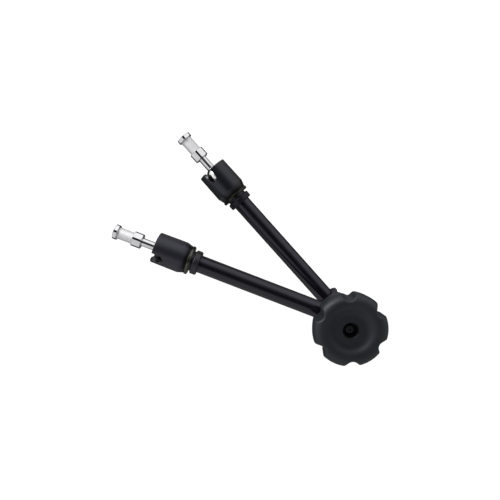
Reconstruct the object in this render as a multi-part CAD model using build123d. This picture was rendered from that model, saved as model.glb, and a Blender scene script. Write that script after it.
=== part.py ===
from build123d import *
import os
from math import asin, cos, degrees, radians, sin, sqrt, tan

# Articulating friction arm: two tubes joined at a lockable elbow, with a ball head and a
# hex stud on each. Millimetres, +Z up. The origin is the tip face of the front arm's stud,
# the front arm runs along +X to the elbow, and the elbow turns about a vertical axis.
# "Front" is the knob's side of the elbow and "rear" is the side below it.

# Pose of the arms at rest
arm_spread = 27.07  # degrees between the arms
arm_offset = 30.0  # between the two arms' axes, along the elbow's axis
front_slot_turn = 32.8  # degrees from straight up to the front cup's slot
rear_slot_turn = 19.7  # degrees from straight up to the rear cup's slot
front_hex_turn = 13.0  # degrees from straight up to a corner of the front hex stud
rear_hex_turn = 4.3  # degrees from straight up to a corner of the rear hex stud

# Clearances
running_gap = 0.05  # radial, between a turning or sliding piece and its bore
contact_gap = 0.1  # between pieces that press on each other only when the knob is tight
seat_gap = 0.2  # between the ball and the hollow faces that hold it
rod_bore_gap = 0.1  # radial, round a push rod
axial_gap = 0.1  # end play of the end fitting's flange in its cup
rim_gap = 0.2  # between the two bosses' rims when the arms fold together
mouth_gap = 0.4  # between the hex stud's corners and the cup's mouth, for assembly

# Elbow halves
elbow_d = 40.0
elbow_top_height = 15.0  # from an arm's axis to the outer face of its elbow half
elbow_rounding = 2.5
elbow_mating_rounding = 0.6
friction_disc_thickness = 2.0
spigot_d = 27.0  # the front half's spigot, on which the rear half turns
spigot_length = 5.0
disc_margin = 1.0  # the friction disc stops this far inside the elbow's edge
boss_d = 27.8
boss_reach = 25.0  # from the elbow's axis to the boss's end face
boss_rim_width = 3.0
boss_chamfer = 0.8
tube_inset = 11.5  # length of tube inside the boss

# Tubes and what is fixed to them
tube_d = 19.0
tube_wall = 2.0
tube_length = 160.2
collar_d = 26.2
collar_length = 7.2
collar_rounding = 1.6
guide_length = 12.0
fitting_spigot_length = 24.0  # glued inside the tube
neck_d = 21.5
neck_gap = 2.0  # neck seen between the collar and the retaining ring
flange_d = 26.0
flange_thickness = 5.0

# Cup and retaining ring
ring_d = 31.4
ring_width = 3.5
ring_chamfer = 0.8
ring_thread_d = 26.4
ring_thread_length = 3.9
cup_length = 37.0
cup_rim_d = 33.3
cup_body_d = 34.0
cup_back_d = 29.8
cup_cone_length = 6.7
cup_rounding = 0.7
cup_shoulder_rounding = 1.5
rim_land = 4.3  # flat ring at the cup's rim, outside the mouth's flare
slot_side_gap = 0.4  # between the stem and each side of the slot

# Ball and hex stud
ball_d = 22.0
ball_depth = 8.6  # from the cup's rim to the ball's centre
ball_flat_d = 9.6
shank_d = 7.0
shank_length = 14.0
stem_d = 9.0
stem_length = 24.2  # from the ball's centre to the hex
hex_across_flats = 15.8
hex_length = 10.4
groove_d = 12.5
groove_length = 16.3
tip_length = 4.6
hex_corner_rounding = 1.6
hex_chamfer_angle = 30.0
hex_face_inset = 0.3  # the chamfers start this far inside the flats
tapped_hole_d = 5.1
tapped_hole_depth = 12.0
tapped_hole_chamfer = 0.6

# Wedge cones, push rods and friction pads
cone_d = 22.0
cone_slope = 25.0  # degrees from the elbow's axis
cone_tip_d = 13.2
cone_nose_length = 1.5
front_cone_top = 11.0  # outer end of the front cone, above the front arm's axis
rear_cone_top = 14.0  # outer end of the rear cone, below the rear arm's axis
rod_d = 8.0
rod_chamfer = 0.6
pad_gap = 2.3  # between the end fitting's flange and the friction pad
pad_length = 10.0
pad_chamfer = 0.5
key_pin_d = 3.0
key_pin_length = 8.0

# Tie bolt and release spring
bolt_d = 8.0
bolt_chamfer = 0.8
bolt_head_across_flats = 13.0
bolt_head_height = 5.0
spring_coil_d = 11.2
spring_wire_d = 1.2
spring_turns = 4.5
end_screw_d = 5.0
end_screw_length = 12.0
end_screw_hole_spare = 2.0  # the bolt's tapped hole is this much deeper
end_screw_head_d = 9.0
end_screw_head_height = 3.0
end_screw_head_rounding = 1.2
end_screw_socket = 3.0  # across flats
end_screw_socket_depth = 1.6
end_washer_d = 13.0
end_washer_thickness = 1.2
bolt_end_above_insert = 2.0

# Washers, insert and knob
thrust_washer_thickness = 2.0
bearing_washer_thickness = 1.5
washer_side_gap = 0.25
insert_flange_d = 20.0
insert_flange_thickness = 2.5
insert_across_flats = 17.0
insert_length = 14.0  # of its hex part
knob_d = 76.0
knob_draft = 6.0  # degrees, the rim narrows towards its foot
knob_notches = 6
first_notch = -5.0  # degrees from +X
notch_r = 6.5
notch_edge_r = 3.0
knob_thickness = 28.0
knob_hub_drop = 2.0  # the hub reaches this far below the rim's underside
knob_crown_r = 9.0
knob_foot_r = 5.0
knob_rim_width = 17.0  # from the knob's edge to the middle of the dish's slope
dish_depth = 4.0
dish_slope_width = 7.0
dish_blend_r = 12.0
knob_hole_d = 14.5
knob_hole_r = 1.0
hub_d = 26.0
knob_rim_wall = 9.5  # from the knob's edge to the pockets in its underside
knob_web = 7.0  # plastic left between the dish's floor and the pockets below
rib_thickness = 3.0

# Places along an arm, from the elbow's axis
tube_start = boss_reach - tube_inset
tube_end = tube_start + tube_length
ring_start = tube_end + neck_gap
cup_start = ring_start + ring_width
cup_rim = cup_start + cup_length
ball_x = cup_rim - ball_depth
flange_start = cup_start + ring_thread_length + axial_gap
flange_end = flange_start + flange_thickness
pad_start = flange_end + pad_gap
arm_reach = ball_x + stem_length + hex_length + groove_length + tip_length

# Heights along the elbow's axis in one half, from its arm's axis outwards
half_gap = arm_offset / 2 - friction_disc_thickness / 2
washer_z = front_cone_top
bearing_z = washer_z + thrust_washer_thickness
insert_z = bearing_z + bearing_washer_thickness
hub_z = insert_z + insert_flange_thickness
insert_top = hub_z + insert_length
bolt_top = insert_top + bolt_end_above_insert
knob_z = hub_z + knob_hub_drop
knob_top = knob_z + knob_thickness
dish_z = knob_top - dish_depth

# Radii shared by mating pieces
boss_rim_r = (arm_offset - rim_gap) / 2
tube_bore_r = tube_d / 2 - tube_wall
rod_bore_r = rod_d / 2 + rod_bore_gap
cone_bore_r = cone_d / 2 + running_gap
bolt_bore_r = bolt_d / 2 + running_gap
socket_r = ball_d / 2 + seat_gap
thread_r = ring_thread_d / 2
slot_width = stem_d + 2 * slot_side_gap
slope_length = (cone_d - cone_tip_d) / 2 / tan(radians(cone_slope))
hex_corner_r = hex_across_flats / sqrt(3) - hex_corner_rounding * (2 / sqrt(3) - 1)
mouth_r = hex_corner_r + mouth_gap
mouth_x = ball_x + sqrt(socket_r**2 - mouth_r**2)
flare_r = cup_rim_d / 2 - rim_land
dish_r = knob_d / 2 - knob_rim_width
pocket_outer_r = knob_d / 2 - knob_rim_wall


def profile(*corners):
    """Closed outline from (x, y) or (x, y, rounding) corners."""
    face = make_face(Polyline(*[corner[:2] for corner in corners], close=True))
    for x, y, rounding in [corner for corner in corners if len(corner) == 3]:
        face = fillet(face.vertices().sort_by_distance((x, y, 0))[0], rounding)
    return face


def turned(*corners):
    """Solid turned about the arm's axis, from (place along it, radius) corners."""
    return revolve(profile(*corners), Axis.X)


def turned_upright(*corners):
    """Solid turned about the elbow's axis, from (radius, height) corners."""
    return revolve(Plane.XZ * profile(*corners), Axis.Z)


def rod_along_x(start, end, radius):
    """Plain cylinder about the arm's axis."""
    return turned((start, 0), (end, 0), (end, radius), (start, radius))


def upright_rod(bottom, top, radius):
    """Plain cylinder about the elbow's axis."""
    return turned_upright((0, bottom), (radius, bottom), (radius, top), (0, top))


def upright_hex(bottom, top, across_flats):
    """Hexagonal prism about the elbow's axis."""
    outline = RegularPolygon(across_flats / 2, 6, major_radius=False)
    return Pos(0, 0, bottom) * extrude(outline, top - bottom)


# Elbow


def elbow_half():
    """What both halves share: a round body and a rimmed boss, bored for tube and rod."""
    radius = elbow_d / 2
    body = turned_upright(
        (0, -half_gap),
        (radius, -half_gap, elbow_mating_rounding),
        (radius, elbow_top_height, elbow_rounding),
        (0, elbow_top_height),
    )
    rim_start = boss_reach - boss_rim_width
    boss = turned(
        (0, 0),
        (boss_reach, 0),
        (boss_reach, boss_rim_r - boss_chamfer),
        (boss_reach - boss_chamfer, boss_rim_r),
        (rim_start, boss_rim_r),
        (rim_start - boss_rim_r + boss_d / 2, boss_d / 2),
        (0, boss_d / 2),
    )
    body += boss
    body -= rod_along_x(tube_start, boss_reach, tube_d / 2)
    body -= rod_along_x(0, tube_start, rod_bore_r)
    return body


def front_elbow_half():
    """Front half with the spigot that the rear half turns on."""
    half = elbow_half() + upright_rod(-half_gap - spigot_length, -half_gap, spigot_d / 2)
    return half - upright_rod(-half_gap - spigot_length, elbow_top_height, cone_bore_r)


def rear_elbow_half():
    """Rear half, counterbored for the spigot and grooved for the key pin."""
    depth = spigot_length - friction_disc_thickness + axial_gap
    half = elbow_half() - upright_rod(-half_gap, elbow_top_height, cone_bore_r)
    half -= upright_rod(-half_gap, -half_gap + depth, spigot_d / 2 + running_gap)
    groove_start = rear_cone_top - contact_gap - key_pin_length
    return half - key_way(groove_start, elbow_top_height, key_pin_d / 2)


def key_way(bottom, top, radius):
    """Round key or its groove, centred on the cone's wall opposite the arm."""
    return Pos(-cone_bore_r, 0, 0) * upright_rod(bottom, top, radius)


def key_pin():
    """Dowel set half in the rear half's bore and half in the rear cone's groove."""
    top = rear_cone_top - contact_gap
    return key_way(top - key_pin_length, top, key_pin_d / 2)


def friction_disc():
    """Flat ring round the spigot, held between the two halves."""
    outer = elbow_d / 2 - disc_margin
    inner = spigot_d / 2 + running_gap
    bottom = -half_gap - friction_disc_thickness
    return upright_rod(bottom, -half_gap, outer) - upright_rod(bottom, -half_gap, inner)


def wedge_cone(top):
    """Cone that drives the push rod outwards when it is drawn into the elbow half."""
    slope_top = slope_length / 2
    slope_bottom = -slope_length / 2
    return turned_upright(
        (bolt_bore_r, slope_bottom - cone_nose_length),
        (cone_tip_d / 2, slope_bottom - cone_nose_length),
        (cone_tip_d / 2, slope_bottom),
        (cone_d / 2, slope_top),
        (cone_d / 2, top),
        (bolt_bore_r, top),
    )


def rear_wedge_cone():
    """Rear cone with a pocket for the tie bolt's head and a groove for the key pin."""
    cone = wedge_cone(rear_cone_top)
    cone -= upright_hex(
        rear_cone_top - bolt_head_height,
        rear_cone_top,
        bolt_head_across_flats + 2 * running_gap,
    )
    return cone - key_way(-slope_length, rear_cone_top, key_pin_d / 2 + contact_gap)


def tie_bolt():
    """Bolt through both halves, head in the rear cone, seen from the rear half's frame."""
    head_z = rear_cone_top - bolt_head_height
    end_z = -arm_offset - bolt_top
    shaft = turned_upright(
        (0, end_z),
        (bolt_d / 2 - bolt_chamfer, end_z),
        (bolt_d / 2, end_z + bolt_chamfer),
        (bolt_d / 2, head_z),
        (0, head_z),
    )
    head = upright_hex(head_z, rear_cone_top, bolt_head_across_flats)
    corner = bolt_head_across_flats / sqrt(3)
    head &= turned_upright(
        (0, head_z),
        (corner, head_z),
        (corner, rear_cone_top - bolt_chamfer),
        (corner - 2 * bolt_chamfer, rear_cone_top),
        (0, rear_cone_top),
    )
    hole_depth = end_screw_length + end_screw_hole_spare
    return shaft + head - upright_rod(end_z, end_z + hole_depth, end_screw_d / 2)


def release_spring():
    """Coil between the two cones' noses, round the tie bolt."""
    nose = slope_length / 2 + cone_nose_length
    margin = spring_wire_d / 2 + running_gap
    bottom = -arm_offset + nose + margin
    height = arm_offset - 2 * nose - 2 * margin
    line = Pos(0, 0, bottom) * Helix(height / spring_turns, height, spring_coil_d / 2)
    section = Plane(origin=line @ 0, z_dir=line % 0) * Circle(spring_wire_d / 2)
    return sweep(section, line, is_frenet=True)


# Arm


def arm_tube():
    """Plain tube from the boss to the collar."""
    return rod_along_x(tube_start, tube_end, tube_d / 2) - rod_along_x(
        tube_start, tube_end, tube_bore_r
    )


def tube_collar():
    """Ring over the tube's outer end."""
    start = tube_end - collar_length
    return turned(
        (start, tube_d / 2),
        (start, collar_d / 2, collar_rounding),
        (tube_end, collar_d / 2, collar_rounding),
        (tube_end, tube_d / 2),
    )


def rod_guide():
    """Bush that centres the push rod in the middle of the tube."""
    start = tube_start + (tube_length - guide_length) / 2
    end = start + guide_length
    return rod_along_x(start, end, tube_bore_r) - rod_along_x(start, end, rod_bore_r)


def end_fitting():
    """Spigot in the tube, neck for the retaining ring and flange inside the cup."""
    start = tube_end - fitting_spigot_length
    return turned(
        (start, rod_bore_r),
        (start, tube_bore_r),
        (tube_end, tube_bore_r),
        (tube_end, neck_d / 2),
        (flange_start, neck_d / 2),
        (flange_start, flange_d / 2),
        (flange_end, flange_d / 2),
        (flange_end, rod_bore_r),
    )


def push_rod():
    """Rod from the cone's slope to the friction pad, with a round inner end."""
    slope_r_at_axis = (cone_d + cone_tip_d) / 4
    centre = slope_r_at_axis + (rod_d / 2 + contact_gap) / cos(radians(cone_slope))
    end = pad_start - contact_gap
    rod = turned(
        (centre, 0),
        (end, 0),
        (end, rod_d / 2 - rod_chamfer),
        (end - rod_chamfer, rod_d / 2),
        (centre, rod_d / 2),
    )
    return rod + Pos(centre, 0, 0) * Sphere(rod_d / 2)


# Head


def retaining_ring():
    """Threaded ring that holds the cup on the end fitting's flange."""
    bore_r = neck_d / 2 + running_gap
    return turned(
        (ring_start, bore_r),
        (ring_start, ring_d / 2 - ring_chamfer),
        (ring_start + ring_chamfer, ring_d / 2),
        (cup_start - ring_chamfer, ring_d / 2),
        (cup_start, ring_d / 2 - ring_chamfer),
        (cup_start, thread_r),
        (cup_start + ring_thread_length, thread_r),
        (cup_start + ring_thread_length, bore_r),
    )


def slotted_cup(slot_direction):
    """Cup that holds the ball, with a slot that the stem drops into at right angles."""
    outside = turned(
        (cup_start, 0),
        (cup_start, cup_back_d / 2, cup_rounding),
        (cup_start + cup_cone_length, cup_body_d / 2, cup_shoulder_rounding),
        (cup_rim, cup_rim_d / 2, cup_rounding),
        (cup_rim, 0),
    )
    shoulder = flange_end + axial_gap
    walls = Polyline(
        (ball_x, socket_r),
        (shoulder, socket_r),
        (shoulder, thread_r),
        (cup_start, thread_r),
        (cup_start, 0),
        (cup_rim, 0),
        (cup_rim, flare_r),
        (mouth_x, mouth_r),
    )
    mouth_angle = degrees(asin(mouth_r / socket_r))
    seat = CenterArc((ball_x, 0), socket_r, mouth_angle, 90 - mouth_angle)
    cup = outside - revolve(make_face([walls, seat]), Axis.X)
    slot = SlotCenterToCenter(2 * (cup_rim - ball_x), slot_width)
    outward = Plane(origin=(cup_rim, 0, 0), x_dir=(1, 0, 0), z_dir=slot_direction)
    return cup - outward * extrude(slot, cup_body_d)


def ball():
    """Ball with a flat and a bore for the stud's shank, about its own centre."""
    flat_x = sqrt((ball_d / 2) ** 2 - (ball_flat_d / 2) ** 2)
    solid = Sphere(ball_d / 2) - rod_along_x(flat_x, ball_d, ball_d)
    return solid - rod_along_x(flat_x - shank_length, flat_x, shank_d / 2 + running_gap)


def hex_flange(start, end, corner_turn):
    """Slice of round-cornered hexagonal bar, chamfered at both ends."""
    flat_r = hex_across_flats / 2
    outer_r = hex_across_flats / sqrt(3)
    face_r = flat_r - hex_face_inset
    chamfer_x = (outer_r - face_r) * tan(radians(hex_chamfer_angle))
    outline = RegularPolygon(flat_r, 6, major_radius=False, rotation=90 + corner_turn)
    outline = fillet(outline.vertices(), hex_corner_rounding)
    bar = Pos(start, 0, 0) * extrude(Plane.YZ * outline, end - start)
    return bar & turned(
        (start, 0),
        (start, face_r),
        (start + chamfer_x, outer_r),
        (end - chamfer_x, outer_r),
        (end, face_r),
        (end, 0),
    )


def hex_stud(corner_turn):
    """Stud turned from hexagonal bar, about the ball's centre, with a tapped tip."""
    flat_x = sqrt((ball_d / 2) ** 2 - (ball_flat_d / 2) ** 2)
    hex_end = stem_length + hex_length
    groove_end = hex_end + groove_length
    tip_end = groove_end + tip_length
    stud = rod_along_x(flat_x - shank_length + axial_gap, flat_x, shank_d / 2)
    stud += rod_along_x(flat_x, stem_length, stem_d / 2)
    stud += hex_flange(stem_length, hex_end, corner_turn)
    stud += rod_along_x(hex_end, groove_end, groove_d / 2)
    stud += hex_flange(groove_end, tip_end, corner_turn)
    return stud - turned(
        (tip_end - tapped_hole_depth, 0),
        (tip_end, 0),
        (tip_end, tapped_hole_d / 2 + tapped_hole_chamfer),
        (tip_end - tapped_hole_chamfer, tapped_hole_d / 2),
        (tip_end - tapped_hole_depth, tapped_hole_d / 2),
    )


def friction_pad():
    """Plug in the cup's bore with a hollow face that presses on the ball."""
    radius = socket_r - running_gap
    plug = turned(
        (pad_start, 0),
        (pad_start, radius - pad_chamfer),
        (pad_start + pad_chamfer, radius),
        (pad_start + pad_length, radius),
        (pad_start + pad_length, 0),
    )
    return plug - Pos(ball_x, 0, 0) * Sphere(socket_r)


# Clamp above the front half


def flat_washer(bottom, thickness):
    """Washer in the front half's bore, round the tie bolt."""
    outer = cone_bore_r - washer_side_gap
    return upright_rod(bottom, bottom + thickness, outer) - upright_rod(
        bottom, bottom + thickness, bolt_bore_r
    )


def knob_insert():
    """Threaded insert moulded into the knob, with the flange that presses on the washers."""
    insert = upright_rod(insert_z, hub_z, insert_flange_d / 2)
    insert += upright_hex(hub_z, insert_top, insert_across_flats)
    return insert - upright_rod(insert_z, insert_top, bolt_bore_r)


def end_washer():
    """Washer on the tie bolt's end that stops the knob from coming off."""
    return upright_rod(bolt_top, bolt_top + end_washer_thickness, end_washer_d / 2) - upright_rod(
        bolt_top, bolt_top + end_washer_thickness, end_screw_d / 2 + running_gap
    )


def end_screw():
    """Socket screw in the tie bolt's end."""
    seat = bolt_top + end_washer_thickness
    top = seat + end_screw_head_height
    screw = upright_rod(bolt_top - end_screw_length, seat, end_screw_d / 2)
    screw += turned_upright(
        (0, seat),
        (end_screw_head_d / 2, seat),
        (end_screw_head_d / 2, top, end_screw_head_rounding),
        (0, top),
    )
    return screw - upright_hex(top - end_screw_socket_depth, top, end_screw_socket)


def knob_blank():
    """Dished knob with a drafted, notched and rounded rim, before its pockets and holes."""
    slope = dish_slope_width / 2
    draft = tan(radians(knob_draft))
    blank = turned_upright(
        (0, knob_z),
        (knob_d / 2 - draft * (knob_thickness - knob_crown_r), knob_z, knob_foot_r),
        (knob_d / 2 + draft * knob_crown_r, knob_top, knob_crown_r),
        (dish_r + slope, knob_top, dish_blend_r),
        (dish_r - slope, dish_z, dish_blend_r),
        (0, dish_z),
    )
    blank = Rot(0, 0, first_notch + 180 / knob_notches) * blank
    cutter = Pos(0, 0, knob_z) * Cylinder(notch_r, 3 * knob_thickness)
    blank -= [turn * cutter for turn in PolarLocations(knob_d / 2, knob_notches, first_notch)]
    rims = blank.edges().filter_by(
        lambda edge: edge.geom_type in (GeomType.LINE, GeomType.BSPLINE)
    )
    return fillet(rims, notch_edge_r)


def knob():
    """Moulded hand knob: lobed rim, dished face, hollow ribbed underside."""
    solid = knob_blank()
    pocket_top = dish_z - knob_web
    pocket = upright_rod(knob_z, pocket_top, pocket_outer_r)
    pocket -= upright_rod(knob_z, pocket_top, hub_d / 2)
    for turn in range(knob_notches):
        rib = Pos(pocket_outer_r / 2, 0, knob_z) * Box(
            pocket_outer_r,
            rib_thickness,
            pocket_top - knob_z,
            align=(Align.CENTER, Align.CENTER, Align.MIN),
        )
        pocket -= Rot(0, 0, first_notch + (turn + 0.5) * 360 / knob_notches) * rib
    solid -= pocket
    solid += upright_rod(hub_z, knob_z, hub_d / 2)
    solid -= upright_hex(hub_z, insert_top, insert_across_flats)
    hole = turned_upright(
        (0, insert_top),
        (knob_hole_d / 2, insert_top),
        (knob_hole_d / 2, dish_z - knob_hole_r),
        (knob_hole_d / 2 + knob_hole_r, dish_z),
        (0, dish_z),
    )
    return solid - hole


# Assembly

spread = radians(arm_spread)
front = Plane(origin=(arm_reach, 0, 0), x_dir=(-1, 0, 0), z_dir=(0, 0, 1))
rear = Plane(
    origin=(arm_reach, 0, -arm_offset),
    x_dir=(-cos(spread), sin(spread), 0),
    z_dir=(0, 0, -1),
)
front_slot = (0, sin(radians(front_slot_turn)), cos(radians(front_slot_turn)))
rear_slot = (0, -sin(radians(rear_slot_turn)), -cos(radians(rear_slot_turn)))

nodes = {
    "front_elbow_half": front * front_elbow_half(),
    "front_wedge_cone": front * wedge_cone(front_cone_top),
    "friction_disc": front * friction_disc(),
    "release_spring": front * release_spring(),
    "thrust_washer": front * flat_washer(washer_z, thrust_washer_thickness),
    "bearing_washer": front * flat_washer(bearing_z, bearing_washer_thickness),
    "knob_insert": front * knob_insert(),
    "knob": Pos(arm_reach, 0, 0) * knob(),
    "end_washer": front * end_washer(),
    "end_screw": front * end_screw(),
    "rear_elbow_half": rear * rear_elbow_half(),
    "rear_wedge_cone": rear * rear_wedge_cone(),
    "key_pin": rear * key_pin(),
    "tie_bolt": rear * tie_bolt(),
}
for side, arm, slot, hex_turn in (
    ("front", front, front_slot, front_hex_turn),
    ("rear", rear, rear_slot, rear_hex_turn),
):
    nodes[f"{side}_tube"] = arm * arm_tube()
    nodes[f"{side}_collar"] = arm * tube_collar()
    nodes[f"{side}_rod_guide"] = arm * rod_guide()
    nodes[f"{side}_end_fitting"] = arm * end_fitting()
    nodes[f"{side}_push_rod"] = arm * push_rod()
    nodes[f"{side}_friction_pad"] = arm * friction_pad()
    nodes[f"{side}_retaining_ring"] = arm * retaining_ring()
    nodes[f"{side}_cup"] = arm * slotted_cup(slot)
    nodes[f"{side}_ball"] = arm * Pos(ball_x, 0, 0) * ball()
    nodes[f"{side}_hex_stud"] = arm * Pos(ball_x, 0, 0) * hex_stud(hex_turn)

os.makedirs("parts", exist_ok=True)
for node, solid in nodes.items():
    export_step(solid, f"parts/{node}.step")
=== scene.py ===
import math

import bmesh
import bpy
from mathutils import Matrix, Vector


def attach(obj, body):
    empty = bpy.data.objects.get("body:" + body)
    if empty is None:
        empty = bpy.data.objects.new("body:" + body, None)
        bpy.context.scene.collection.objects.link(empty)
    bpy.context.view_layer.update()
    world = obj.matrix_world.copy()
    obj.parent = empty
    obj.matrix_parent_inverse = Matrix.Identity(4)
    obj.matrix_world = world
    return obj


# Looks of the articulating friction arm, in the model's own frame: metres, +Z up, the front
# arm along +X from the tip of its stud at the origin, the elbow's axis vertical.

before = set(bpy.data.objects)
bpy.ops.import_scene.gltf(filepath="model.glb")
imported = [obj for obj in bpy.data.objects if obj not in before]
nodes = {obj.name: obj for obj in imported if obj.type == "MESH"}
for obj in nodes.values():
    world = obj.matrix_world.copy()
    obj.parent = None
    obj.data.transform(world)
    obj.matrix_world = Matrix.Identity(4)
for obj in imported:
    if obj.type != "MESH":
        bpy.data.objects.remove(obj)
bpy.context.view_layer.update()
scene = bpy.context.scene


# Places on the model

ARM_REACH = 0.2631  # from a stud's tip to the elbow's axis
ARM_SPREAD = math.radians(27.07)  # between the two arms
ARM_OFFSET = 0.030  # the rear arm's axis is this far below the front arm's
ELBOW = Vector((ARM_REACH, 0.0, 0.0))
UPRIGHT = Vector((0.0, 0.0, 1.0))
FRONT_OUTWARD = Vector((-1.0, 0.0, 0.0))
REAR_OUTWARD = Vector((-math.cos(ARM_SPREAD), math.sin(ARM_SPREAD), 0.0))

# Outward direction and height of each arm's axis, and the knob's axis in the same form
FRONT_ARM = (FRONT_OUTWARD, 0.0)
REAR_ARM = (REAR_OUTWARD, -ARM_OFFSET)
KNOB_AXIS = (UPRIGHT, 0.0)

WAIST_PLACE = 0.01275  # middle of a stud's waist, from the stud's tip
WAIST_LENGTH = 0.0163

# Pairs of distances from an axis, between which a look changes
CORNER_REFLECTION_BAND = (0.00852, 0.00858)  # a painted dark reflection lies along a stud's hex corner
INSIDE_SHADE_WITHIN = (0.0155, 0.0164)  # the painted shade inside a cup turns into its outer skin
HOLE_EDGE = (0.0076, 0.0090)  # the painted shade of the knob's hole turns into its dish
RIM_BAND = (0.021, 0.031)  # the knob's dish turns into its lighter rim

# Cosines between the rounded and the true normal, between which an edge ends
EDGE_COSINES = (0.80, 0.99)

# Colours and tints
LUSTRE = (0.86, 0.84, 1.0)  # tint of what shines on an anodised skin
SHINE = (0.90, 0.94, 1.0)  # and on moulded plastic
# Painted shade inside a cup and behind its shoulder: a near black colour and a dimmed lustre
PAINTED_SHADE_BLACK = (0.002, 0.002, 0.002)
PAINTED_SHADE_LUSTRE = (0.20, 0.20, 0.22)
# Painted shade in the knob's hole: a near black colour and a dimmed shine
HOLE_PAINTED_SHADE = (0.0015, 0.0015, 0.0015)
HOLE_SHADED_SHINE = (0.25, 0.25, 0.27)
NICKEL = (0.71, 0.71, 0.73)
DULL_NICKEL = (0.65, 0.65, 0.67)
WAIST_NICKEL = (0.76, 0.76, 0.77)
# Painted dark reflection along the studs' hex corners and edges
PAINTED_DARK_REFLECTION = (0.02, 0.02, 0.022)

# Stretches of the textures' points
EVEN = (1.0, 1.0, 1.0)
ALONG_TUBE = (0.02, 1.0, 1.0)
ROUND_TURNED = (1.0, 0.05, 0.05)


# Shader helpers


def new_material(name):
    """Empty node material with its shader and output."""
    material = bpy.data.materials.new(name)
    material.use_nodes = True
    tree = material.node_tree
    tree.nodes.clear()
    output = tree.nodes.new("ShaderNodeOutputMaterial")
    shader = tree.nodes.new("ShaderNodeBsdfPrincipled")
    tree.links.new(shader.outputs[0], output.inputs[0])
    return material, tree, shader


def local_points(tree, turn=0.0, stretch=EVEN):
    """Points of the model's frame, turned about +Z and stretched, for the textures."""
    source = tree.nodes.new("ShaderNodeTexCoord")
    rotate = tree.nodes.new("ShaderNodeMapping")
    rotate.inputs["Rotation"].default_value = (0.0, 0.0, turn)
    scale = tree.nodes.new("ShaderNodeMapping")
    scale.inputs["Scale"].default_value = stretch
    tree.links.new(source.outputs["Object"], rotate.inputs["Vector"])
    tree.links.new(rotate.outputs[0], scale.inputs["Vector"])
    return scale.outputs[0]


def near_place(tree, outward, place, reach):
    """One where a point is within reach of a place along an arm, measured from its stud's tip."""
    source = tree.nodes.new("ShaderNodeTexCoord")
    along = tree.nodes.new("ShaderNodeVectorMath")
    along.operation = "DOT_PRODUCT"
    along.inputs[1].default_value = outward
    tree.links.new(source.outputs["Object"], along.inputs[0])
    within = tree.nodes.new("ShaderNodeMath")
    within.operation = "COMPARE"
    within.inputs[1].default_value = outward.dot(ELBOW) + ARM_REACH - place
    within.inputs[2].default_value = reach
    tree.links.new(along.outputs["Value"], within.inputs[0])
    return within.outputs[0]


def axis_distance(tree, direction, height):
    """Distance of a point from the line in that direction, at that height above the elbow."""
    source = tree.nodes.new("ShaderNodeTexCoord")
    offset = tree.nodes.new("ShaderNodeVectorMath")
    offset.operation = "SUBTRACT"
    offset.inputs[1].default_value = ELBOW + Vector((0.0, 0.0, height))
    tree.links.new(source.outputs["Object"], offset.inputs[0])
    cross = tree.nodes.new("ShaderNodeVectorMath")
    cross.operation = "CROSS_PRODUCT"
    cross.inputs[1].default_value = direction
    tree.links.new(offset.outputs[0], cross.inputs[0])
    length = tree.nodes.new("ShaderNodeVectorMath")
    length.operation = "LENGTH"
    tree.links.new(cross.outputs[0], length.inputs[0])
    return length.outputs["Value"]


def combine(tree, operation, one, two):
    """Result of a math operation on two values."""
    node = tree.nodes.new("ShaderNodeMath")
    node.operation = operation
    tree.links.new(one, node.inputs[0])
    tree.links.new(two, node.inputs[1])
    return node.outputs[0]


def noise(tree, points, scale, detail=3.0, roughness=0.55):
    """Noise value at a scale given in lumps per metre."""
    node = tree.nodes.new("ShaderNodeTexNoise")
    node.inputs["Scale"].default_value = scale
    node.inputs["Detail"].default_value = detail
    node.inputs["Roughness"].default_value = roughness
    tree.links.new(points, node.inputs["Vector"])
    return node.outputs["Fac"]


def remap(tree, value, low, high, start=0.3, end=0.7):
    """Value between start and end, where most of a noise lies, spread over low to high."""
    node = tree.nodes.new("ShaderNodeMapRange")
    node.inputs["From Min"].default_value = start
    node.inputs["From Max"].default_value = end
    node.inputs["To Min"].default_value = low
    node.inputs["To Max"].default_value = high
    tree.links.new(value, node.inputs["Value"])
    return node.outputs[0]


def blend_values(tree, factor, first, second):
    """Value between two values."""
    node = tree.nodes.new("ShaderNodeMix")
    tree.links.new(factor, node.inputs["Factor"])
    tree.links.new(first, node.inputs["A"])
    tree.links.new(second, node.inputs["B"])
    return node.outputs["Result"]


def blend_colors(tree, factor, first, second):
    """Colour between two colours, either of which may be a socket."""
    node = tree.nodes.new("ShaderNodeMix")
    node.data_type = "RGBA"
    tree.links.new(factor, node.inputs["Factor"])
    for key, value in (("A", first), ("B", second)):
        socket = [s for s in node.inputs if s.name == key and s.type == "RGBA"][0]
        if isinstance(value, tuple):
            socket.default_value = (*value, 1.0)
        else:
            tree.links.new(value, socket)
    return [s for s in node.outputs if s.type == "RGBA"][0]


def mottled(tree, value, color, change):
    """Colour that goes over to a multiple of itself as a noise value rises."""
    changed = tuple(change * part for part in color)
    return blend_colors(tree, remap(tree, value, 0.0, 1.0), color, changed)


def edge_mask(tree, radius):
    """One along sharp edges and nought on open faces."""
    bevel = tree.nodes.new("ShaderNodeBevel")
    bevel.samples = 4
    bevel.inputs["Radius"].default_value = radius
    geometry = tree.nodes.new("ShaderNodeNewGeometry")
    compare = tree.nodes.new("ShaderNodeVectorMath")
    compare.operation = "DOT_PRODUCT"
    tree.links.new(bevel.outputs[0], compare.inputs[0])
    tree.links.new(geometry.outputs["Normal"], compare.inputs[1])
    return remap(tree, compare.outputs["Value"], 1.0, 0.0, *EDGE_COSINES)


def bump(tree, shader, height, distance, strength=1.0):
    """Surface relief of that depth in metres."""
    node = tree.nodes.new("ShaderNodeBump")
    node.inputs["Distance"].default_value = distance
    node.inputs["Strength"].default_value = strength
    tree.links.new(height, node.inputs["Height"])
    tree.links.new(node.outputs[0], shader.inputs["Normal"])


# Finishes


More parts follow.
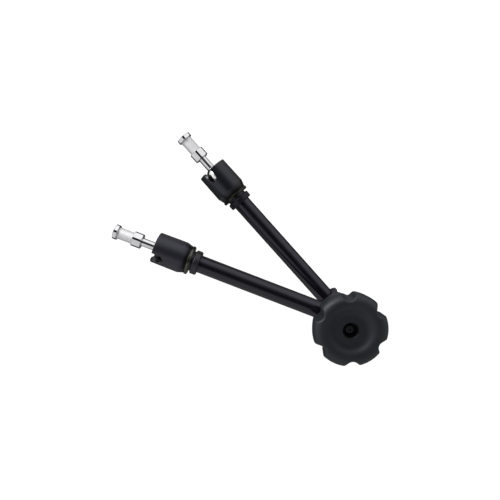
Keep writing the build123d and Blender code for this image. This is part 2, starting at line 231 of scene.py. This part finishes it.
def black_anodised(name, color, edge_wear_and_highlight, rough, turn=0.0, grain=EVEN, arm=None, lustre=LUSTRE):
    """Dyed anodised aluminium: a dark satin skin with fine grain and lighter edges, worn, and on
    the elbow also a painted highlight.

    With an arm, as on a cup, the faces near the arm's axis, inside the cup and behind its
    shoulder, get painted shade: a near black colour and a dimmed lustre.
    """
    material, tree, shader = new_material(name)
    clouds = noise(tree, local_points(tree), scale=55.0)
    patches = noise(tree, local_points(tree), scale=900.0)
    fine = noise(tree, local_points(tree, turn, grain), scale=2500.0, detail=4.0)
    tint = mottled(tree, clouds, color, 1.25)
    edges = combine(
        tree, "MULTIPLY", edge_mask(tree, radius=0.0004), remap(tree, patches, low=0.0, high=0.8)
    )
    skin = blend_colors(tree, edges, tint, edge_wear_and_highlight)
    if arm is None:
        shader.inputs["Specular Tint"].default_value = (*lustre, 1.0)
    else:
        # Painted shade: near the arm's axis, inside the cup and behind its shoulder, the skin
        # turns near black and its lustre dims
        inside_shade = remap(tree, axis_distance(tree, *arm), 1.0, 0.0, *INSIDE_SHADE_WITHIN)
        skin = blend_colors(tree, inside_shade, skin, PAINTED_SHADE_BLACK)
        varied = blend_colors(tree, inside_shade, lustre, PAINTED_SHADE_LUSTRE)
        tree.links.new(varied, shader.inputs["Specular Tint"])
    roughness = remap(tree, fine, low=rough - 0.05, high=rough + 0.07)
    tree.links.new(skin, shader.inputs["Base Color"])
    tree.links.new(roughness, shader.inputs["Roughness"])
    shader.inputs["Metallic"].default_value = 0.0
    shader.inputs["IOR"].default_value = 1.5
    bump(tree, shader, fine, distance=0.00001, strength=0.6)
    return material


def moulded_plastic(name, color, rough, grain_scale=1500.0, grain_depth=0.00004, rim=None):
    """Moulded plastic with a fine spark-eroded texture and a few handling marks.

    With a rim colour, as on the knob, the skin turns lighter, to that colour, towards the rim,
    and the hole gets painted shade.
    """
    material, tree, shader = new_material(name)
    points = local_points(tree)
    clouds = noise(tree, points, scale=40.0)
    grain = noise(tree, points, grain_scale, detail=2.0, roughness=0.5)
    streaks = local_points(tree, turn=0.6, stretch=(1.0, 12.0, 1.0))
    scuffs = noise(tree, streaks, scale=60.0, detail=5.0, roughness=0.7)
    marks = remap(tree, scuffs, low=0.0, high=0.5, start=0.62, end=0.75)
    skin = mottled(tree, clouds, color, 1.2)
    skin = blend_colors(tree, marks, skin, tuple(1.8 * part for part in color))
    if rim is None:
        shader.inputs["Specular Tint"].default_value = (*SHINE, 1.0)
    else:
        distance = axis_distance(tree, *KNOB_AXIS)
        toward_rim = remap(tree, distance, 0.0, 1.0, *RIM_BAND)
        outside = remap(tree, distance, 0.0, 1.0, *HOLE_EDGE)
        # The skin turns lighter, to the rim colour, towards the knob's rim
        skin = blend_colors(tree, toward_rim, skin, mottled(tree, clouds, rim, 1.2))
        # Painted shade in and around the hole: the skin turns near black and its shine dims
        skin = blend_colors(tree, outside, HOLE_PAINTED_SHADE, skin)
        varied = blend_colors(tree, outside, HOLE_SHADED_SHINE, SHINE)
        tree.links.new(varied, shader.inputs["Specular Tint"])
    roughness = remap(tree, clouds, low=rough - 0.04, high=rough + 0.06)
    tree.links.new(skin, shader.inputs["Base Color"])
    tree.links.new(roughness, shader.inputs["Roughness"])
    shader.inputs["IOR"].default_value = 1.45
    bump(tree, shader, grain, grain_depth)
    return material


def bright_stud(name, outward, height):
    """Polished nickel, with painted dark reflections along the hexes' corners and edges, and a
    waist left satin from turning.
    """
    material, tree, shader = new_material(name)
    clouds = noise(tree, local_points(tree), scale=150.0)
    fine = noise(tree, local_points(tree), scale=1400.0)
    waist = near_place(tree, outward, WAIST_PLACE, WAIST_LENGTH / 2)
    # Painted dark reflections along the hex corners and along the sharp edges
    corner_reflections = remap(tree, axis_distance(tree, outward, height), 0.0, 1.0, *CORNER_REFLECTION_BAND)
    painted_reflection_lines = combine(tree, "MAXIMUM", corner_reflections, edge_mask(tree, radius=0.0010))
    skin = blend_colors(tree, remap(tree, clouds, 0.0, 1.0), NICKEL, DULL_NICKEL)
    skin = blend_colors(tree, waist, skin, WAIST_NICKEL)
    skin = blend_colors(tree, painted_reflection_lines, skin, PAINTED_DARK_REFLECTION)
    polish = remap(tree, fine, low=0.05, high=0.09)
    satin = remap(tree, fine, low=0.58, high=0.72)
    tree.links.new(skin, shader.inputs["Base Color"])
    tree.links.new(blend_values(tree, waist, polish, satin), shader.inputs["Roughness"])
    shader.inputs["Metallic"].default_value = 1.0
    return material


def turned_steel(name, color, rough, lines=EVEN):
    """Machined metal with fine tool lines and a slightly uneven lustre."""
    material, tree, shader = new_material(name)
    clouds = noise(tree, local_points(tree), scale=120.0)
    fine = noise(tree, local_points(tree, stretch=lines), scale=1800.0)
    roughness = remap(tree, fine, low=max(rough - 0.04, 0.02), high=rough + 0.08)
    tree.links.new(mottled(tree, clouds, color, 0.86), shader.inputs["Base Color"])
    tree.links.new(roughness, shader.inputs["Roughness"])
    shader.inputs["Metallic"].default_value = 1.0
    bump(tree, shader, fine, distance=0.000004)
    return material


# Materials

TUBE_BLACK = (0.004, 0.004, 0.006)
TUBE_ROUGH = 0.19
COLLAR_ROUGH = 0.36
RING_ROUGH = 0.26

# Colours of the worn edges, from the least worn to the most; the elbow's lightest edges are also
# a painted highlight
TUBE_WORN = (0.04, 0.04, 0.045)
CUP_WORN = (0.07, 0.07, 0.075)
COLLAR_WORN = (0.10, 0.10, 0.10)
# Worn edges, and partly a painted highlight where the elbow's rim catches light
ELBOW_WORN_AND_HIGHLIT = (0.22, 0.22, 0.22)

tube_front = black_anodised(
    "tube_front_skin", TUBE_BLACK, TUBE_WORN, TUBE_ROUGH, grain=ALONG_TUBE
)
tube_rear = black_anodised(
    "tube_rear_skin", TUBE_BLACK, TUBE_WORN, TUBE_ROUGH, turn=ARM_SPREAD, grain=ALONG_TUBE
)
cup_front = black_anodised(
    "cup_front_skin", (0.008, 0.008, 0.012), CUP_WORN, 0.30, grain=ROUND_TURNED, arm=FRONT_ARM
)
cup_rear = black_anodised(
    "cup_rear_skin", (0.004, 0.005, 0.006), CUP_WORN, 0.28, turn=ARM_SPREAD, grain=ROUND_TURNED,
    arm=REAR_ARM,
)
collar_front = black_anodised("collar_skin", (0.008, 0.008, 0.010), COLLAR_WORN, COLLAR_ROUGH)
# Painted shade: the rear collar is a darker copy of the front collar's skin, with a dimmer lustre
collar_rear_shaded = black_anodised(
    "shaded_rear_collar_skin", (0.003, 0.003, 0.004), COLLAR_WORN, COLLAR_ROUGH,
    lustre=(0.50, 0.49, 0.58),
)
elbow_skin = black_anodised("elbow_skin", (0.009, 0.009, 0.011), ELBOW_WORN_AND_HIGHLIT, 0.40)
fitting_skin = black_anodised("fitting_skin", (0.006, 0.006, 0.009), TUBE_WORN, 0.38)
ring_front = turned_steel("ring_steel", (0.095, 0.095, 0.082), RING_ROUGH, ROUND_TURNED)
# Painted shade: the rear ring is a darker copy of the front ring's steel
ring_rear_shaded = turned_steel("shaded_ring_steel", (0.036, 0.036, 0.031), RING_ROUGH, ROUND_TURNED)
stud_front = bright_stud("stud_front_nickel", *FRONT_ARM)
stud_rear = bright_stud("stud_rear_nickel", *REAR_ARM)
ball_skin = turned_steel("polished_ball", (0.86, 0.86, 0.87), 0.05)
steel = turned_steel("turned_steel", (0.52, 0.53, 0.54), 0.28)
spring_skin = turned_steel("spring_wire", (0.38, 0.38, 0.40), 0.33)
brass = turned_steel("brass", (0.75, 0.58, 0.28), 0.27)
blackened = turned_steel("black_oxide", (0.03, 0.03, 0.034), 0.42)
screw_skin = turned_steel("rubbed_black_oxide", (0.05, 0.05, 0.058), 0.22)
knob_skin = moulded_plastic(
    "knob_plastic", (0.0036, 0.0045, 0.0066), 0.48, rim=(0.0088, 0.0106, 0.0128)
)
guide_skin = moulded_plastic("guide_plastic", (0.62, 0.61, 0.56), 0.45)
pad_skin = moulded_plastic("pad_plastic", (0.11, 0.10, 0.095), 0.5)
lining_skin = moulded_plastic(
    "friction_lining", (0.055, 0.045, 0.038), 0.85, grain_scale=900.0, grain_depth=0.00012
)

finishes = {
    "front_elbow_half": elbow_skin,
    "rear_elbow_half": elbow_skin,
    "front_tube": tube_front,
    "rear_tube": tube_rear,
    "front_collar": collar_front,
    "rear_collar": collar_rear_shaded,
    "front_end_fitting": fitting_skin,
    "rear_end_fitting": fitting_skin,
    "front_rod_guide": guide_skin,
    "rear_rod_guide": guide_skin,
    "front_push_rod": steel,
    "rear_push_rod": steel,
    "front_friction_pad": pad_skin,
    "rear_friction_pad": pad_skin,
    "front_retaining_ring": ring_front,
    "rear_retaining_ring": ring_rear_shaded,
    "front_cup": cup_front,
    "rear_cup": cup_rear,
    "front_ball": ball_skin,
    "rear_ball": ball_skin,
    "front_hex_stud": stud_front,
    "rear_hex_stud": stud_rear,
    "front_wedge_cone": steel,
    "rear_wedge_cone": steel,
    "friction_disc": lining_skin,
    "release_spring": spring_skin,
    "thrust_washer": steel,
    "bearing_washer": brass,
    "knob_insert": blackened,
    "knob": knob_skin,
    "end_washer": blackened,
    "end_screw": screw_skin,
    "key_pin": steel,
    "tie_bolt": steel,
}
for node, finish in finishes.items():
    mesh = nodes[node].data
    mesh.materials.clear()
    mesh.materials.append(finish)


# Threads in the studs' tapped holes, about each arm's axis with +X outwards from the elbow

FRONT_AXIS = Matrix.Translation((ARM_REACH, 0.0, 0.0)) @ Matrix.Rotation(math.pi, 4, "Z")
REAR_AXIS = (
    Matrix.Translation((ARM_REACH, 0.0, -ARM_OFFSET))
    @ Matrix.Rotation(math.pi - ARM_SPREAD, 4, "Z")
)
THREAD_START = ARM_REACH - 0.0006
THREAD_END = ARM_REACH - 0.0112
THREAD_PITCH = 0.00127
THREAD_FOOT = 0.42 * THREAD_PITCH  # from the ridge's crest to each side of its foot
THREAD_FOOT_R = 0.00256
THREAD_CREST_R = 0.00218
THREAD_STEPS = 28  # rows of points in a turn


def tapped_thread(name, axis, body):
    """Ridge of the thread that lines a stud's tapped hole."""
    profile = (
        (THREAD_FOOT, THREAD_FOOT_R), (0.0, THREAD_CREST_R), (-THREAD_FOOT, THREAD_FOOT_R)
    )
    turns = (THREAD_START - THREAD_END) / THREAD_PITCH
    mesh = bpy.data.meshes.new(name)
    shape = bmesh.new()
    rows = []
    for i in range(int(turns * THREAD_STEPS) + 1):
        angle = 2 * math.pi * i / THREAD_STEPS
        place = THREAD_START - THREAD_PITCH * i / THREAD_STEPS
        rows.append([
            shape.verts.new((place + shift, r * math.cos(angle), r * math.sin(angle)))
            for shift, r in profile
        ])
    for one, two in zip(rows, rows[1:]):
        for j in range(len(profile)):
            k = (j + 1) % len(profile)
            shape.faces.new((one[j], one[k], two[k], two[j]))
    shape.faces.new(rows[0])
    shape.faces.new(reversed(rows[-1]))
    bmesh.ops.recalc_face_normals(shape, faces=shape.faces)
    shape.transform(axis)
    shape.to_mesh(mesh)
    shape.free()
    for face in mesh.polygons:
        face.use_smooth = True
    mesh.materials.append(steel)
    piece = bpy.data.objects.new(name, mesh)
    scene.collection.objects.link(piece)
    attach(piece, body)


tapped_thread("front_stud_thread", FRONT_AXIS, "front_stud")
tapped_thread("rear_stud_thread", REAR_AXIS, "rear_stud")


# Stage


def glowing(name, grey, rough, gloss, glow, strength):
    """Grey material that also gives off light."""
    material, _, shader = new_material(name)
    shader.inputs["Base Color"].default_value = (grey, grey, grey, 1.0)
    shader.inputs["Roughness"].default_value = rough
    shader.inputs["Specular IOR Level"].default_value = gloss
    shader.inputs["Emission Color"].default_value = (glow, glow, glow, 1.0)
    shader.inputs["Emission Strength"].default_value = strength
    return material


FLOOR_Z = -0.16
FLOOR_REACH = 6.0
floor_mesh = bpy.data.meshes.new("floor")
floor_mesh.from_pydata(
    [
        (FLOOR_REACH * x, FLOOR_REACH * y, FLOOR_Z)
        for x, y in ((-1.0, -1.0), (1.0, -1.0), (1.0, 1.0), (-1.0, 1.0))
    ],
    [],
    [(0, 1, 2, 3)],
)
floor_mesh.materials.append(glowing("pale_floor", 0.25, 0.9, gloss=0.1, glow=1.0, strength=0.85))
floor = bpy.data.objects.new("floor", floor_mesh)
scene.collection.objects.link(floor)
floor.visible_glossy = False

# Pale backdrop all round, seen only directly, so that it neither lights the arm nor shows in it
BACKDROP_R = 5.0
backdrop_mesh = bpy.data.meshes.new("backdrop")
sphere = bmesh.new()
bmesh.ops.create_icosphere(sphere, subdivisions=4, radius=BACKDROP_R)
sphere.to_mesh(backdrop_mesh)
sphere.free()
backdrop_mesh.materials.append(
    glowing("pale_backdrop", 0.0, 0.5, gloss=0.0, glow=0.97, strength=1.0)
)
backdrop = bpy.data.objects.new("backdrop", backdrop_mesh)
scene.collection.objects.link(backdrop)
backdrop.visible_diffuse = False
backdrop.visible_glossy = False
backdrop.visible_transmission = False
backdrop.visible_shadow = False

ARM_MIDDLE = Vector((0.14, 0.04, 0.0))


def soft_light(name, position, size, power):
    """Large square softbox aimed at the middle of the arm."""
    light = bpy.data.lights.new(name, "AREA")
    light.shape = "SQUARE"
    light.size = size
    light.energy = power
    lamp = bpy.data.objects.new(name, light)
    lamp.location = Vector(position)
    lamp.rotation_euler = (ARM_MIDDLE - lamp.location).to_track_quat("-Z", "Y").to_euler()
    scene.collection.objects.link(lamp)


soft_light("key_light", (-0.75, 0.45, 0.60), size=0.6, power=8.0)
soft_light("fill_light", (0.30, 0.95, 0.60), size=1.6, power=1.2)


# Pale surroundings: lighter towards the far left, dimmer towards the near right and below the
# object's level, dark overhead, and with a few dark zones, which the bright metal reflects

OVERHEAD = (0.03, 0.20, 0.98)
FAR_LEFT = (-0.75, 0.65, 0.05)

# Light left at each cosine between a ray and the overhead direction
OVERHEAD_STOPS = ((0.72, 1.0), (0.84, 0.42), (0.93, 0.02))

# Direction of each dark zone, the light left in its middle, and the cosines where it starts
# and is darkest
DARK_ZONES = (
    ((-0.70, -0.68, -0.30), 0.35, 0.80, 0.93),
    ((0.80, 0.05, 0.60), 0.65, 0.80, 0.92),
    ((-0.45, -0.45, -0.77), 0.10, 0.92, 0.97),
    ((0.55, 0.35, -0.76), 0.10, 0.88, 0.94),
    ((-0.75, -0.08, -0.66), 0.06, 0.79, 0.86),
)

world = bpy.data.worlds.new("studio")
scene.world = world
world.use_nodes = True
sky = world.node_tree
sky.nodes.clear()
sky_output = sky.nodes.new("ShaderNodeOutputWorld")
background = sky.nodes.new("ShaderNodeBackground")
ray = sky.nodes.new("ShaderNodeTexCoord")


def along(direction):
    """Cosine of the angle between a ray and a direction."""
    node = sky.nodes.new("ShaderNodeVectorMath")
    node.operation = "DOT_PRODUCT"
    node.inputs[1].default_value = Vector(direction).normalized()
    sky.links.new(ray.outputs["Generated"], node.inputs[0])
    return node.outputs["Value"]


ramp = sky.nodes.new("ShaderNodeValToRGB")
stops = ramp.color_ramp.elements
stops[0].position = 0.0
stops[0].color = (1.0, 1.0, 1.0, 1.0)
stops[1].position = 1.0
stops[1].color = (0.005, 0.005, 0.006, 1.0)
for place, light_left in OVERHEAD_STOPS:
    stop = stops.new(place)
    stop.color = (light_left, light_left, light_left, 1.0)
sky.links.new(remap(sky, along(OVERHEAD), 0.0, 1.0, start=0.0, end=1.0), ramp.inputs["Fac"])
sky.links.new(ramp.outputs["Color"], background.inputs["Color"])

brightness = remap(sky, along(FAR_LEFT), low=0.52, high=1.25, start=-1.0, end=1.0)
factors = [remap(sky, along(UPRIGHT), low=0.22, high=1.0, start=-0.70, end=0.0)]
for towards, least, start, end in DARK_ZONES:
    factors.append(remap(sky, along(towards), 1.0, least, start, end))
for factor in factors:
    brightness = combine(sky, "MULTIPLY", brightness, factor)
sky.links.new(brightness, background.inputs["Strength"])
sky.links.new(background.outputs[0], sky_output.inputs[0])


# Camera, nearly straight above the middle of the arm

CAMERA_PLACE = Vector((0.132375, 0.099863, 0.510840))
view_right = Vector((0.93297, 0.35875, -0.02953))
view_up = Vector((-0.35951, 0.92452, -0.12653))

# The rounded directions are made exactly square to one another
view_back = view_right.cross(view_up).normalized()
view_up = view_back.cross(view_right).normalized()
view_right = view_right.normalized()

camera_data = bpy.data.cameras.new("camera")
camera_data.sensor_width = 36.0
camera_data.lens = 34.850
camera_data.clip_start = 0.01
camera = bpy.data.objects.new("camera", camera_data)
camera.matrix_world = Matrix((
    (view_right.x, view_up.x, view_back.x, CAMERA_PLACE.x),
    (view_right.y, view_up.y, view_back.y, CAMERA_PLACE.y),
    (view_right.z, view_up.z, view_back.z, CAMERA_PLACE.z),
    (0.0, 0.0, 0.0, 1.0),
))
scene.collection.objects.link(camera)
scene.camera = camera
scene.view_settings.view_transform = "Standard"
